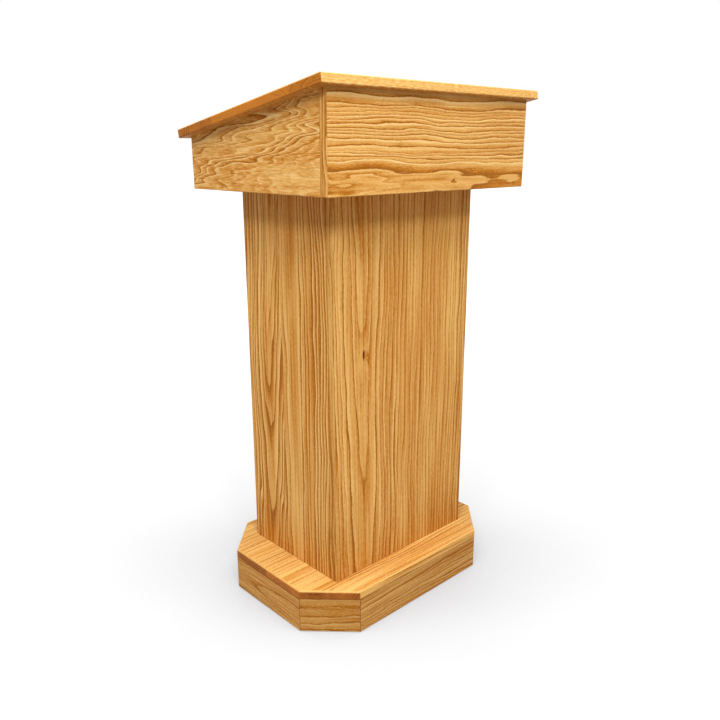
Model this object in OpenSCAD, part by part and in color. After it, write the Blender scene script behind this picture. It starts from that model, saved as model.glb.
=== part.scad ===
// Floor lectern: a sloped reading board on a box head, a panelled column and an octagonal plinth.
// Millimetres. +Z up, the audience side faces -Y and the speaker stands at +Y.
// The origin is under the middle of the overall outline, on the floor.

/* [Overall] */
// Height of the lectern, at the front edge of the reading board
total_h = 1180; // [1000:1:1300]
// Thickness of the veneered panels of the head and the column
panel_t = 19; // [15:0.5:25]
// Radius of the eased edges of the panels
panel_ease = 1.5; // [0.5:0.25:3]

/* [Reading board] */
// Slope of the reading board, in degrees
board_slope = 10; // [6:0.5:14]
// Thickness of the reading board
board_t = 19; // [16:0.5:25]
// How far the board's underside reaches past the head at each side
board_over_side = 24; // [10:1:40]
// How far the board's underside reaches past the front of the head
board_over_front = 15; // [5:1:40]
// How far the board's underside reaches past the back of the head
board_over_back = 12; // [5:1:40]
// Radius of the board's eased edges
board_ease = 3; // [1:0.25:6]

/* [Book stop] */
// Length of the strip that keeps a book from sliding off the low edge
stop_l = 480; // [300:1:560]
// Thickness of the book stop, up the slope
stop_t = 16; // [12:0.5:25]
// Height of the book stop above the board
stop_h = 18; // [16:0.5:25]
// Distance from the board's low edge to the book stop
stop_inset = 20; // [10:1:40]
// Radius of the book stop's upper edges
stop_ease = 5; // [1:0.25:5.5]

/* [Head] */
// Width of the head
head_w = 598; // [540:1:680]
// Depth of the head
head_d = 456; // [400:1:540]
// Height of the head's front face
head_front_h = 190; // [170:1:240]
// How far the middle of the head stands in front of the middle of the column
head_forward = 9; // [0:1:30]
// Thickness of the head's floor
head_floor_t = 19; // [15:0.5:25]
// How far the head's panels hang below its floor
head_floor_raise = 12; // [8:1:25]
// Depth of the grooves that hold the head's floor
groove_depth = 6; // [4:0.5:9]

/* [Column] */
// Width of the column
column_w = 432; // [380:1:480]
// Depth of the column
column_d = 307; // [270:1:350]
// Height of the rails across the column's open back
rail_h = 60; // [40:1:100]

/* [Shelf] */
// Thickness of the shelf in the column
shelf_t = 19; // [15:0.5:25]
// Gap between the shelf and the panel at each side
shelf_side_gap = 1; // [0.5:0.25:3]
// Gap between the shelf and the column's front panel
shelf_front_gap = 2; // [1:0.5:10]
// Distance from the column's back to the shelf's back edge
shelf_back_gap = 20; // [5:1:60]
// Height of the shelf's underside above the plinth
shelf_up = 400; // [280:1:520]
// Distance between shelf pin holes, up and down
pin_pitch = 32; // [25:1:40]
// Number of spare shelf pin holes above the shelf, and as many below it, in each row
pin_spare = 2; // [0:1:4]
// Distance from the shelf's front edge, and from its back edge, to a row of pin holes
pin_edge = 35; // [25:1:60]

/* [Plinth] */
// Width of the plinth
base_w = 600; // [540:1:680]
// Depth of the plinth
base_d = 438; // [400:1:500]
// Height of the plinth
base_h = 105; // [95:1:140]
// Length that each cut corner takes off a side
base_cut = 97; // [70:1:120]
// Thickness of the plinth's top board
base_board_t = 20; // [16:0.5:28]
// Radius of the rounded top edge of the plinth
base_round = 5; // [2:0.25:8]
// Thickness of the mitred skirt boards
skirt_t = 19; // [16:0.5:25]
// Height of the skirt above the floor
glide_gap = 2; // [1:0.25:5]
// Leg of the triangular blocks glued under the plinth's top board
glue_block = 25; // [15:1:35]
// Number of triangular blocks along the front, and along the back
glue_block_n = 2; // [1:1:3]
// Length of the triangular blocks
glue_block_l = 80; // [50:1:110]
// Thickness of the corner blocks that carry the glides
corner_block_t = 30; // [20:1:40]
// Width of a corner block, in from the skirt
corner_block_w = 50; // [42:1:60]
// Diameter of a glide's foot
glide_d = 30; // [20:1:34]
// Height of a glide's foot
glide_h = 7; // [6:0.5:9]
// Radius of the foot's lower edge
glide_round = 3; // [1:0.5:5]
// Diameter of a glide's stem
glide_stem_d = 8; // [6:0.5:10]
// Length of a glide's stem above its foot
glide_stem_l = 26; // [16:1:30]

/* [Cleats and screws] */
// Side of the square cleats that hold the board, the head and the column together
cleat = 20; // [18:0.5:28]
// Distance from the head's open back to the cleats under the board
board_cleat_back = 20; // [0:1:60]
// Diameter of the wood screws
screw_d = 4; // [3:0.25:4.5]
// Diameter of the screw heads
screw_head_d = 8; // [7:0.25:9]
// How far a screw bites into the last piece that it reaches
screw_bite = 12; // [8:0.5:14]
// Number of screws through each cleat under the board
board_screw_n = 3; // [2:1:5]
// Number of screws that hold the book stop
stop_screw_n = 4; // [2:1:6]
// Number of screws through each cleat of the column
column_screw_n = 2; // [2:1:4]

/* [Biscuits, dowels and pins] */
// Length of a jointing biscuit
biscuit_l = 56; // [45:1:60]
// Width of a jointing biscuit
biscuit_w = 23; // [16:0.5:24]
// Thickness of a jointing biscuit
biscuit_t = 4; // [3:0.25:5]
// Number of biscuits in each corner of the column
column_biscuit_n = 5; // [3:1:7]
// Number of biscuits in each corner of the head
head_biscuit_n = 2; // [1:1:2]
// Diameter of the dowels in the ends of the rails
dowel_d = 8; // [6:0.5:10]
// How far a dowel reaches into the rail
dowel_in_rail = 20; // [12:1:30]
// How far a dowel reaches into the column's side panel
dowel_in_panel = 10; // [8:0.5:12]
// Diameter of the shelf pins
pin_d = 5; // [4:0.25:6]
// How far a shelf pin reaches into the panel
pin_peg_l = 10; // [7:0.5:12]
// Diameter of a shelf pin's collar
pin_collar_d = 10; // [8:0.5:14]
// Thickness of the collar
pin_collar_t = 1.5; // [1:0.25:3]
// How far a shelf pin reaches out under the shelf
pin_spoon_l = 9; // [7:0.5:14]
// Width of the spline across each mitre of the skirt
spline_w = 12; // [8:0.5:14]
// Thickness of the mitre splines
spline_t = 4; // [3:0.25:5]
// Distance from a mitre's inner edge to the middle of its spline
spline_in = 8; // [6:0.5:9]
// How far the splines stop short of the plinth's top board
spline_top_gap = 10; // [2:1:30]

/* [Hidden] */
$fn = 48;

// Colours
OAK_BOARD = "#E3A85C";
OAK_PANEL = "#D39A52";
OAK_COLUMN = "#C58B45";
OAK_PLINTH = "#E09B4A";
OAK_SKIRT = "#B9823F";
INNER_WOOD = "#D8B98A";
BEECH = "#D9B48C";
STEEL = "#B9BBBD";
NYLON = "#3A332D";

// Clearances: round a screw, round a biscuit, dowel or spline, round a shelf pin, round a glide's stem
screw_clear = 0.15;
slip = 0.15;
pin_clear = 0.1;
stem_clear = 0.2;
// A hole runs this much deeper than the pin or dowel in it
hole_spare = 1;
// A cut runs this far past the face that it leaves
past = 1;
// Longer than any piece, for cutting planes
far = 2 * total_h;
SHARP = [0, 0, 0, 0];

// The board's underside starts at its front lower edge and falls towards the speaker
board_w = head_w + 2 * board_over_side;
board_run = board_over_front + head_d + board_over_back;
board_l = board_run / cos(board_slope);
ease_drop = board_ease * (cos(board_slope) + sin(board_slope) - 1);
front_y = -(board_run + board_t * sin(board_slope)) / 2;
front_z = total_h + ease_drop - board_t * cos(board_slope);

// Depths of the head, column and plinth
head_y0 = front_y + board_over_front;
head_y1 = head_y0 + head_d;
column_y = (head_y0 + head_y1) / 2 + head_forward;
column_y0 = column_y - column_d / 2;
column_y1 = column_y + column_d / 2;

// Heights of the head and column
head_z = under_z(head_y0) - head_front_h;
floor_z = head_z + head_floor_raise;
column_top = floor_z;
column_h = column_top - base_h;

// Clear widths between the side panels
head_in = head_w / 2 - panel_t;
column_in = column_w / 2 - panel_t;

// Skirt of the plinth
skirt_h = base_h - base_board_t - glide_gap;
diagonal_w = (base_w + base_d - 2 * base_cut) / sqrt(2);

// Wood screws: the straight rim of the head, its whole height, and the length of the point
screw_rim = 0.5;
screw_head_h = screw_rim + (screw_head_d - screw_d) / 2;
screw_point = 5;

// Shelf, and the rows of pin holes from front to back
shelf_y0 = column_y0 + panel_t + shelf_front_gap;
shelf_y1 = column_y1 - shelf_back_gap;
shelf_z = base_h + shelf_up;
pin_rows_y = [shelf_y0 + pin_edge, shelf_y1 - pin_edge];

// Height of the underside of the reading board at depth y
function under_z(y) = front_z - (y - front_y) * tan(board_slope);

// Distance along the slope of a point at depth y that lies z above the board's underside, square to it
function along_slope(y, z) = (y - front_y - z * sin(board_slope)) / cos(board_slope);

// n places evenly spread between a and b, each half a step in from the ends
function spread(a, b, n) = [for (i = [0 : n - 1]) a + (b - a) * (i + 0.5) / n];

// Corners of the plinth's outline, moved inwards by e, from the front left corner round to the right
function octagon(e) =
    let (w = base_w / 2 - e, d = base_d / 2 - e, c = base_cut - e * (2 - sqrt(2)))
    [[c - w, -d], [w - c, -d], [w, c - d], [w, d - c], [w - c, d], [c - w, d], [-w, d - c], [-w, c - d]];

// Waste that turns a square corner at the origin into a quarter round
module corner_waste(r) {
    difference() {
        translate([-past, -past]) square(r + past);
        translate([r, r]) circle(r);
    }
}

// Rectangle from the origin, with a radius for each corner, going round from the origin
module eased_rect(w, h, r) {
    difference() {
        square([w, h]);
        if (r[0] > 0) corner_waste(r[0]);
        if (r[1] > 0) translate([w, 0]) mirror([1, 0]) corner_waste(r[1]);
        if (r[2] > 0) translate([w, h]) rotate(180) corner_waste(r[2]);
        if (r[3] > 0) translate([0, h]) mirror([0, 1]) corner_waste(r[3]);
    }
}

// Block from the origin with eased edges: its corner radii seen from above, the front and the right
module eased_block(size, plan = SHARP, front = SHARP, side = SHARP) {
    intersection() {
        linear_extrude(size[2]) eased_rect(size[0], size[1], plan);
        translate([0, size[1], 0]) rotate([90, 0, 0])
            linear_extrude(size[1]) eased_rect(size[0], size[2], front);
        rotate([90, 0, 90]) linear_extrude(size[0]) eased_rect(size[1], size[2], side);
    }
}

// Children in the board's own frame: y down the slope and z square to it, from its lower front edge
module on_slope() {
    translate([0, front_y, front_z]) rotate([-board_slope, 0, 0]) children();
}

// Everything above the board's underside
module above_underside() {
    on_slope() translate([-far / 2, -far / 2, 0]) cube(far);
}

// Wood screw with its head's face at z = 0 and its point down
module wood_screw(l) {
    rotate_extrude() polygon([
        [0, 0], [screw_head_d / 2, 0], [screw_head_d / 2, -screw_rim], [screw_d / 2, -screw_head_h],
        [screw_d / 2, screw_point - l], [0, -l]
    ]);
}

// Hole up from z = 0 for the end of a screw that bites into the last piece that it reaches
module pilot_hole() {
    translate([0, 0, -past]) cylinder(h = past + screw_bite, r = screw_d / 2 + screw_clear);
}

// Hole for the rest of that screw, with its countersink
module screw_hole(l) {
    hole_r = screw_d / 2 + screw_clear;
    head_r = screw_head_d / 2 + screw_clear;
    translate([0, 0, -l]) cylinder(h = l + past, r = hole_r);
    translate([0, 0, -screw_rim]) cylinder(h = screw_rim + past, r = head_r);
    translate([0, 0, -screw_head_h]) cylinder(h = screw_head_h - screw_rim, r1 = hole_r, r2 = head_r);
}

// Jointing biscuit in the plane x = 0, with its long axis up, or its slot with clearance c
module biscuit(c = 0) {
    half_l = biscuit_l / 2 + c;
    half_w = biscuit_w / 2 + c;
    arc_r = (half_l * half_l + half_w * half_w) / (2 * half_w);
    thickness = biscuit_t + 2 * c;
    rotate([90, 0, 90]) translate([0, 0, -thickness / 2]) linear_extrude(thickness) intersection() {
        translate([arc_r - half_w, 0]) circle(arc_r);
        translate([half_w - arc_r, 0]) circle(arc_r);
    }
}

// Biscuits of the left corner of the column, on the line between its front and side panels
module column_corner_biscuits(c = 0) {
    for (z = spread(base_h, column_top, column_biscuit_n))
        translate([(panel_t - column_w) / 2, column_y0 + panel_t, z]) biscuit(c);
}

// Biscuits of the left corner of the head, above the groove for its floor
module head_corner_biscuits(c = 0) {
    for (z = spread(floor_z + head_floor_t, under_z(head_y0 + panel_t), head_biscuit_n))
        translate([(panel_t - head_w) / 2, head_y0 + panel_t, z]) biscuit(c);
}

// Both corners from the left one
module both_sides() {
    children();
    mirror([1, 0, 0]) children();
}

// Places on the board's underside, in the board's frame, where screws come up through the cleats
side_screw_x = head_in - cleat / 2;
side_screw_y0 = along_slope(head_y0 + panel_t + cleat, -cleat / 2);
side_screw_y1 = along_slope(head_y1 - board_cleat_back, -cleat / 2);
front_screw_y = along_slope(head_y0 + panel_t + cleat / 2, -cleat / 2);
side_screws_y = spread(side_screw_y0, side_screw_y1, board_screw_n);
board_screw_spots = concat(
    [for (x = [-side_screw_x, side_screw_x], y = side_screws_y) [x, y]],
    [for (x = spread(-head_in, head_in, board_screw_n)) [x, front_screw_y]]
);

// Places of the book stop's screws, in the board's frame
stop_screw_y = board_l - stop_inset - stop_t / 2;
stop_screw_spots = [for (x = spread(-stop_l / 2, stop_l / 2, stop_screw_n)) [x, stop_screw_y]];

// Places of the screws between the column's cleats and the head's floor or the plinth's top board
cleat_screw_x = column_in - cleat / 2;
cleat_y0 = column_y0 + panel_t + cleat;
cleat_y1 = column_y1 - panel_t;
column_screw_spots = concat(
    [for (x = [-cleat_screw_x, cleat_screw_x], y = spread(cleat_y0, cleat_y1, column_screw_n)) [x, y]],
    [for (x = spread(-column_in, column_in, column_screw_n)) [x, cleat_y0 - cleat / 2]]
);

// Dowels in the left ends of the rails, or their holes, clear by c and deeper by spare
module left_rail_dowels(c = 0, spare = 0) {
    l = dowel_in_panel + dowel_in_rail + 2 * spare;
    for (rail_z = [base_h, column_top - rail_h], z = spread(rail_z, rail_z + rail_h, 2))
        translate([-column_in - dowel_in_panel - spare, column_y1 - panel_t / 2, z])
            rotate([0, 90, 0]) cylinder(h = l, r = dowel_d / 2 + c);
}

module reading_board() {
    e = board_ease;
    color(OAK_BOARD) on_slope() difference() {
        translate([-board_w / 2, 0, 0])
            eased_block([board_w, board_l, board_t], [e, e, e, e], [e, e, e, e], [e, e, e, e]);
        for (p = board_screw_spots)
            translate([p[0], p[1], 0]) pilot_hole();
        for (p = stop_screw_spots)
            translate([p[0], p[1], 0]) rotate([180, 0, 0]) screw_hole(board_t + past);
    }
}

module book_stop() {
    e = stop_ease;
    color(OAK_BOARD) on_slope() difference() {
        translate([-stop_l / 2, board_l - stop_inset - stop_t, board_t])
            eased_block([stop_l, stop_t, stop_h], [e, e, e, e], [0, 0, e, e], [0, 0, e, e]);
        for (p = stop_screw_spots)
            translate([p[0], p[1], board_t]) pilot_hole();
    }
}

module stop_screws() {
    color(STEEL) on_slope() for (p = stop_screw_spots)
        translate([p[0], p[1], 0]) rotate([180, 0, 0]) wood_screw(board_t + screw_bite - slip);
}

// Cleat under the board between two widths and two depths, with its screw holes
module board_cleat(x0, x1, y0, y1) {
    color(INNER_WOOD) difference() {
        intersection() {
            on_slope() translate([x0, 0, -cleat]) cube([x1 - x0, far, cleat]);
            translate([x0 - past, y0, 0]) cube([x1 - x0 + 2 * past, y1 - y0, far]);
        }
        on_slope() for (p = board_screw_spots)
            translate([p[0], p[1], -cleat]) rotate([180, 0, 0]) screw_hole(cleat + past);
    }
}

module board_cleat_left() {
    board_cleat(-head_in, cleat - head_in, head_y0 + panel_t + cleat, head_y1 - board_cleat_back);
}

module board_cleat_right() {
    board_cleat(head_in - cleat, head_in, head_y0 + panel_t + cleat, head_y1 - board_cleat_back);
}

module board_cleat_front() {
    board_cleat(-head_in, head_in, head_y0 + panel_t, head_y0 + panel_t + cleat);
}

module board_screws() {
    color(STEEL) on_slope() for (p = board_screw_spots)
        translate([p[0], p[1], -cleat]) rotate([180, 0, 0]) wood_screw(cleat + screw_bite - slip);
}

module head_front() {
    e = panel_ease;
    h = under_z(head_y0) - head_z;
    color(OAK_PANEL) difference() {
        translate([-head_w / 2, head_y0, head_z])
            eased_block([head_w, panel_t, h], [e, e, 0, 0], [e, e, 0, 0], [e, 0, 0, 0]);
        above_underside();
        head_floor_groove();
        both_sides() head_corner_biscuits(slip);
    }
}

// Side panel of the head at -X
module head_side() {
    e = panel_ease;
    y0 = head_y0 + panel_t;
    color(OAK_PANEL) difference() {
        translate([-head_w / 2, y0, head_z]) eased_block(
            [panel_t, head_y1 - y0, under_z(y0) - head_z], [0, 0, e, e], [e, 0, 0, 0], [0, e, 0, 0]);
        above_underside();
        head_floor_groove();
        head_corner_biscuits(slip);
    }
}

module head_side_left() {
    head_side();
}

module head_side_right() {
    mirror([1, 0, 0]) head_side();
}

// Space that the head's floor takes, open towards the back
module head_floor_groove() {
    w = 2 * (head_in + groove_depth);
    y0 = head_y0 + panel_t - groove_depth;
    translate([-w / 2, y0, floor_z]) cube([w, head_y1 - y0 + past, head_floor_t]);
}

module head_floor() {
    w = 2 * (head_in + groove_depth);
    y0 = head_y0 + panel_t - groove_depth;
    e = panel_ease;
    color(OAK_PANEL) difference() {
        translate([-w / 2, y0, floor_z])
            eased_block([w, head_y1 - y0, head_floor_t], SHARP, SHARP, [0, e, e, 0]);
        for (p = column_screw_spots)
            translate([p[0], p[1], floor_z + head_floor_t]) screw_hole(head_floor_t + past);
    }
}

module head_biscuits() {
    color(BEECH) both_sides() head_corner_biscuits();
}

module column_front() {
    e = panel_ease;
    color(OAK_COLUMN) difference() {
        translate([-column_w / 2, column_y0, base_h])
            eased_block([column_w, panel_t, column_h], [e, e, 0, 0]);
        both_sides() column_corner_biscuits(slip);
    }
}

// Side panel of the column at -X
module column_side() {
    e = panel_ease;
    y0 = column_y0 + panel_t;
    color(OAK_COLUMN) difference() {
        translate([-column_w / 2, y0, base_h])
            eased_block([panel_t, column_y1 - y0, column_h], [0, 0, e, e]);
        column_corner_biscuits(slip);
        for (y = pin_rows_y, i = [-pin_spare : pin_spare])
            translate([-column_in - pin_peg_l - hole_spare, y, shelf_z - pin_d / 2 + i * pin_pitch])
                rotate([0, 90, 0]) cylinder(h = pin_peg_l + hole_spare + past, r = pin_d / 2 + pin_clear);
        left_rail_dowels(slip, hole_spare);
    }
}

module column_side_left() {
    column_side();
}

module column_side_right() {
    mirror([1, 0, 0]) column_side();
}

// Rail across the column's open back from height z up, with its edges eased as seen from the right
module column_rail(z, edges) {
    color(OAK_COLUMN) difference() {
        translate([-column_in, column_y1 - panel_t, z])
            eased_block([2 * column_in, panel_t, rail_h], SHARP, SHARP, edges);
        both_sides() left_rail_dowels(slip, hole_spare);
    }
}

module column_rail_top() {
    column_rail(column_top - rail_h, [panel_ease, panel_ease, 0, 0]);
}

module column_rail_bottom() {
    column_rail(base_h, [0, 0, panel_ease, panel_ease]);
}

module column_biscuits() {
    color(BEECH) both_sides() column_corner_biscuits();
}

module rail_dowels() {
    color(BEECH) both_sides() left_rail_dowels();
}

module column_shelf() {
    e = panel_ease;
    w = 2 * (column_in - shelf_side_gap);
    color(OAK_COLUMN) translate([-w / 2, shelf_y0, shelf_z])
        eased_block([w, shelf_y1 - shelf_y0, shelf_t], SHARP, SHARP, [0, e, e, 0]);
}

// Shelf pin in the panel at -X: a peg in its hole, a collar against the panel, a spoon under the shelf
module shelf_pin() {
    translate([-pin_peg_l, 0, 0]) rotate([0, 90, 0]) cylinder(h = pin_peg_l, r = pin_d / 2);
    difference() {
        rotate([0, 90, 0]) cylinder(h = pin_collar_t, r = pin_collar_d / 2);
        translate([-past, -pin_collar_d, pin_d / 2]) cube(2 * pin_collar_d);
    }
    translate([pin_collar_t, -pin_collar_d / 2, 0])
        cube([pin_spoon_l - pin_collar_t, pin_collar_d, pin_d / 2]);
}

module shelf_pins() {
    color(STEEL) both_sides() for (y = pin_rows_y)
        translate([-column_in, y, shelf_z - pin_d / 2]) shelf_pin();
}

// Cleat with its screwed face at z = 0
module column_cleat(x0, x1, y0, y1) {
    color(INNER_WOOD) difference() {
        translate([x0, y0, 0]) cube([x1 - x0, y1 - y0, cleat]);
        for (p = column_screw_spots)
            translate([p[0], p[1], 0]) pilot_hole();
    }
}

module top_cleat(x0, x1, y0, y1) {
    translate([0, 0, column_top]) mirror([0, 0, 1]) column_cleat(x0, x1, y0, y1);
}

module foot_cleat(x0, x1, y0, y1) {
    translate([0, 0, base_h]) column_cleat(x0, x1, y0, y1);
}

module top_cleat_left() {
    top_cleat(-column_in, cleat - column_in, cleat_y0, cleat_y1);
}

module top_cleat_right() {
    top_cleat(column_in - cleat, column_in, cleat_y0, cleat_y1);
}

module top_cleat_front() {
    top_cleat(-column_in, column_in, cleat_y0 - cleat, cleat_y0);
}

module head_screws() {
    color(STEEL) for (p = column_screw_spots)
        translate([p[0], p[1], floor_z + head_floor_t]) wood_screw(head_floor_t + screw_bite - slip);
}

module foot_cleat_left() {
    foot_cleat(-column_in, cleat - column_in, cleat_y0, cleat_y1);
}

module foot_cleat_right() {
    foot_cleat(column_in - cleat, column_in, cleat_y0, cleat_y1);
}

module foot_cleat_front() {
    foot_cleat(-column_in, column_in, cleat_y0 - cleat, cleat_y0);
}

module base_screws() {
    color(STEEL) for (p = column_screw_spots)
        translate([p[0], p[1], base_h - base_board_t]) rotate([180, 0, 0])
            wood_screw(base_board_t + screw_bite - slip);
}

// Bar along y with both upper edges rounded; bars in four directions meet in the plinth's outline
module round_topped_bar(w) {
    r = base_round;
    translate([-w / 2, far / 2, 0]) rotate([90, 0, 0]) linear_extrude(far)
        eased_rect(w, base_board_t, [0, 0, r, r]);
}

module base_board() {
    color(OAK_PLINTH) difference() {
        translate([0, column_y, base_h - base_board_t]) intersection() {
            round_topped_bar(base_w);
            rotate(90) round_topped_bar(base_d);
            rotate(45) round_topped_bar(diagonal_w);
            rotate(-45) round_topped_bar(diagonal_w);
        }
        for (p = column_screw_spots)
            translate([p[0], p[1], base_h - base_board_t]) rotate([180, 0, 0])
                screw_hole(base_board_t + past);
    }
}

// Spline across the mitre at corner i of the skirt, or its groove with clearance c
module mitre_spline(i, c = 0) {
    inner = octagon(skirt_t)[i];
    out = octagon(0)[i] - inner;
    h = skirt_h - spline_top_gap + 2 * c;
    translate(inner + out * spline_in / norm(out)) rotate(atan2(out[1], out[0]))
        translate([0, 0, glide_gap - c]) linear_extrude(h)
            square([spline_t + 2 * c, spline_w + 2 * c], center = true);
}

// Skirt board i, mitred at both ends, from corner i of the outline to the next
module skirt_board(i) {
    j = (i + 1) % 8;
    outer = octagon(0);
    inner = octagon(skirt_t);
    color(OAK_SKIRT) translate([0, column_y, 0]) difference() {
        translate([0, 0, glide_gap]) linear_extrude(skirt_h)
            polygon([outer[i], outer[j], inner[j], inner[i]]);
        mitre_spline(i, slip);
        mitre_spline(j, slip);
    }
}

module mitre_splines() {
    color(BEECH) translate([0, column_y, 0]) for (i = [0 : 7]) mitre_spline(i);
}

// Triangular block along x in the corner between the top board and the front skirt board
module glue_block_at(x, y, turn) {
    translate([x, y, base_h - base_board_t]) rotate(turn)
        translate([-glue_block_l / 2, 0, 0]) rotate([90, 0, 90]) linear_extrude(glue_block_l)
            polygon([[0, 0], [glue_block, 0], [0, -glue_block]]);
}

module glue_blocks() {
    in_w = base_w / 2 - skirt_t;
    in_d = base_d / 2 - skirt_t;
    color(INNER_WOOD) translate([0, column_y, 0]) {
        for (x = spread(base_cut - base_w / 2, base_w / 2 - base_cut, glue_block_n)) {
            glue_block_at(x, -in_d, 0);
            glue_block_at(x, in_d, 180);
        }
        glue_block_at(-in_w, 0, -90);
        glue_block_at(in_w, 0, 90);
    }
}

// Puts children on the floor at the glide in direction (sx, sy) from the middle of the plinth
module glide_place(sx, sy) {
    cut_middle = (octagon(0)[2] + octagon(0)[1]) / 2;
    inward = (skirt_t + corner_block_w / 2) / sqrt(2);
    translate([sx * (cut_middle[0] - inward), column_y + sy * (-cut_middle[1] - inward), 0]) children();
}

// Block behind the skirt at the cut corner in direction (sx, sy), which stands on its glide
module corner_block(sx, sy) {
    color(INNER_WOOD) difference() {
        translate([0, column_y, glide_h]) linear_extrude(corner_block_t) intersection() {
            polygon(octagon(skirt_t));
            rotate(atan2(sy, sx)) translate([diagonal_w / 2 - skirt_t - corner_block_w, -far / 2])
                square([corner_block_w + past, far]);
        }
        glide_place(sx, sy) translate([0, 0, glide_h - past])
            cylinder(h = corner_block_t + 2 * past, r = glide_stem_d / 2 + stem_clear);
    }
}

// Glide: a foot with a rounded lower edge, and a stem
module glide(sx, sy) {
    color(NYLON) glide_place(sx, sy) {
        rotate_extrude() difference() {
            square([glide_d / 2, glide_h]);
            translate([glide_d / 2, 0]) mirror([1, 0]) corner_waste(glide_round);
        }
        cylinder(h = glide_h + glide_stem_l, r = glide_stem_d / 2);
    }
}

reading_board();
book_stop();
stop_screws();
board_cleat_left();
board_cleat_right();
board_cleat_front();
board_screws();
head_front();
head_side_left();
head_side_right();
head_floor();
head_biscuits();
column_front();
column_side_left();
column_side_right();
column_rail_top();
column_rail_bottom();
column_biscuits();
rail_dowels();
column_shelf();
shelf_pins();
top_cleat_left();
top_cleat_right();
top_cleat_front();
head_screws();
foot_cleat_left();
foot_cleat_right();
foot_cleat_front();
base_screws();
base_board();
skirt_board(0);  // skirt_front
skirt_board(1);  // skirt_front_right
skirt_board(2);  // skirt_right
skirt_board(3);  // skirt_back_right
skirt_board(4);  // skirt_back
skirt_board(5);  // skirt_back_left
skirt_board(6);  // skirt_left
skirt_board(7);  // skirt_front_left
mitre_splines();
glue_blocks();
corner_block(-1, -1);  // corner_block_front_left
corner_block(1, -1);  // corner_block_front_right
corner_block(-1, 1);  // corner_block_back_left
corner_block(1, 1);  // corner_block_back_right
glide(-1, -1);  // glide_front_left
glide(1, -1);  // glide_front_right
glide(-1, 1);  // glide_back_left
glide(1, 1);  // glide_back_right
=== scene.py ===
"""Looks of the floor lectern: lacquered oak, the wood inside it, its small hardware and a plain studio.

Lengths in the properties are metres. Inside the materials they are millimetres, as a joiner gives them.
"""

import math
from dataclasses import dataclass

import bmesh
import bpy
from bmesh.types import BMEdge, BMVert
from bpy.props import FloatProperty, FloatVectorProperty, PointerProperty
from bpy.types import Operator, Panel, PropertyGroup
from mathutils import Matrix, Vector


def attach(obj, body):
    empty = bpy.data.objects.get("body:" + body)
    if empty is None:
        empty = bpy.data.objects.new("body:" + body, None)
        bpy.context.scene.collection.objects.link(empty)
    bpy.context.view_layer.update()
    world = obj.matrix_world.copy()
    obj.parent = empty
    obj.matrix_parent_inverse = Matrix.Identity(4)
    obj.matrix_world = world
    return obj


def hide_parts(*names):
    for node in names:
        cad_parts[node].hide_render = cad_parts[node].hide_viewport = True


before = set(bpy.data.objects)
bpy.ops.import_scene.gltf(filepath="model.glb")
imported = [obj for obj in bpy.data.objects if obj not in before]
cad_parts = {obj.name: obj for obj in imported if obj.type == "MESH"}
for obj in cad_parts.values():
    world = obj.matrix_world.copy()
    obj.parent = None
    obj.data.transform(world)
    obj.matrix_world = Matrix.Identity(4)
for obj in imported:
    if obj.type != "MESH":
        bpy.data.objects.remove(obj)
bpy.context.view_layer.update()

bl_info = {
    "name": "Oak lectern",
    "version": (1, 0, 0),
    "blender": (4, 5, 0),
    "location": "3D View > Sidebar > Lectern",
    "description": "Finishes a floor lectern in lacquered oak and sets it in a plain studio",
    "category": "Object",
}

CORNERS = ("front_left", "front_right", "back_left", "back_right")
MM = 1000.0

X_AXIS = Vector((1, 0, 0))
Y_AXIS = Vector((0, 1, 0))
Z_AXIS = Vector((0, 0, 1))
SLOPE = math.radians(10)
DOWN_SLOPE = Vector((0, math.cos(SLOPE), -math.sin(SLOPE)))
FRONT_LEFT = Vector((1, -1, 0)).normalized()
FRONT_RIGHT = Vector((1, 1, 0)).normalized()

# The banded edges of a panel read their figure from here, far from its faces
BAND_PLACE = 9000

# How squarely a skin looks along or across the grain to count as a banded edge
EDGE_TURN = 0.72

# Turns of a solid piece's skin: long to end grain, lighter eased edge (wear and painted highlight) to flat
# face, edge to upper face, which takes painted shade
END_TURN = (0.3, 0.7)
FLAT_TURN = (0.9, 0.99)
UPPER_TURN = (0.8, 0.97)

# Stain of the lines and the knots: 1 is heartwood and 2 is the early wood's own colour
DEEPEST_STAIN = 1.45
KNOT_STAIN = 2

# How strongly a stave's tone tells on its sawn end
STAVE_END = 8

# Parts of one year's ring, which runs from 0 at its porous line to 1 at the next
EARLY_FADE = (0.1, 0.6)
LATE_RISE = (0.6, 0.86)
LATE_END = (0.95, 1.0)

# From where a ring is cut flat to where it is cut upright
UPRIGHT = (0.1, 0.8)

# Knots, in shares of their size: length, how far out the rings bulge, how much, and the dark middle
KNOT_LENGTH = 3
KNOT_REACH = 2.2
KNOT_SWELL = 0.8
KNOT_EYE = (0.1, 0.4)

# Levels of noise at which a pore begins and is fully open
OPEN_PORE = (0.36, 0.6)

# How dark a joint is in its middle
JOINT_SHADE = 0.75

# In millimetres: a veneer's dark cut at an edge, height of the painted shade at a piece's foot, the skin
# near an underside that takes painted shade
BAND_CUT = (0.9, 2.4)
FOOT_SHADE_HEIGHT = 170
UNDER_SKIN = (0.2, 2)

# How small inner pieces were sawn: millimetres beside and above the log's middle, and their lean
PLANK_SIDE = 14
PLANK_PITH = 22
PLANK_LEAN = 0.03

# Noises of the wood: length and width in millimetres, step of the seed, detail
SWAY = (330, 120, 0, 1)
RAGGED = (6, 0.8, 13.1, 1)
FADING = (170, 30, 83.9, 1)
FLAME = (130, 18, 91.3, 1)
PORES = (5.5, 0.4, 29.9, 0)
DASHES = (8, 1.8, 101.9, 0)
STREAKS = (260, 5.5, 41.3, 2)
CLOUDS = (420, 45, 53.7, 1)
PLANK_SWAY = (180, 40, 0, 2)
PLANK_FLECKS = (4, 0.7, 3.1, 1)
PLANK_FIBRES = (60, 0.8, 5.7, 2)
PLANK_CLOUDS = (90, 30, 9.3, 2)
SAW_MARKS = (1.6, 60, 11.9, 1)

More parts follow.
